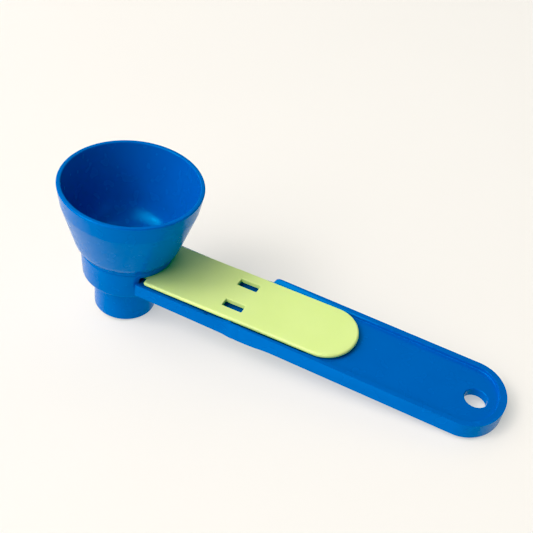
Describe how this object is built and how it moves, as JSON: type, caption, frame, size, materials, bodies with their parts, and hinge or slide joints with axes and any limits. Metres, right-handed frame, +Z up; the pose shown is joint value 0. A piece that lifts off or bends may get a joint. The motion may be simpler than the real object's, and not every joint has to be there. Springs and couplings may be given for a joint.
{
  "type": "slide-gate dosing scoop",
  "caption": "Flared measuring cup over a short spout on a flat channel handle, with a sliding gate that opens or shuts the outlet.",
  "frame": {"origin": "on the table, under the middle of the box round the lying scoop", "axes": "+Z up from the table, +X towards the hang hole at the end of the handle, +Y across the handle"},
  "size_m": [0.1532, 0.048, 0.0566],
  "materials": {
    "blue_plastic": "satin moulded polypropylene, saturated blue",
    "green_plastic": "satin moulded polypropylene, pale lime green"
  },
  "bodies": {
    "scoop_body": {"cup": "blue_plastic", "gate_collar": "blue_plastic", "spout": "blue_plastic", "handle": "blue_plastic"},
    "slide": {"slide_gate": "green_plastic"}
  },
  "joints": [
    {"name": "gate_slide", "type": "slide", "parent": "scoop_body", "child": "slide", "axis": [0.992, 0, -0.1263], "range_m": [0, 0.021]}
  ]
}
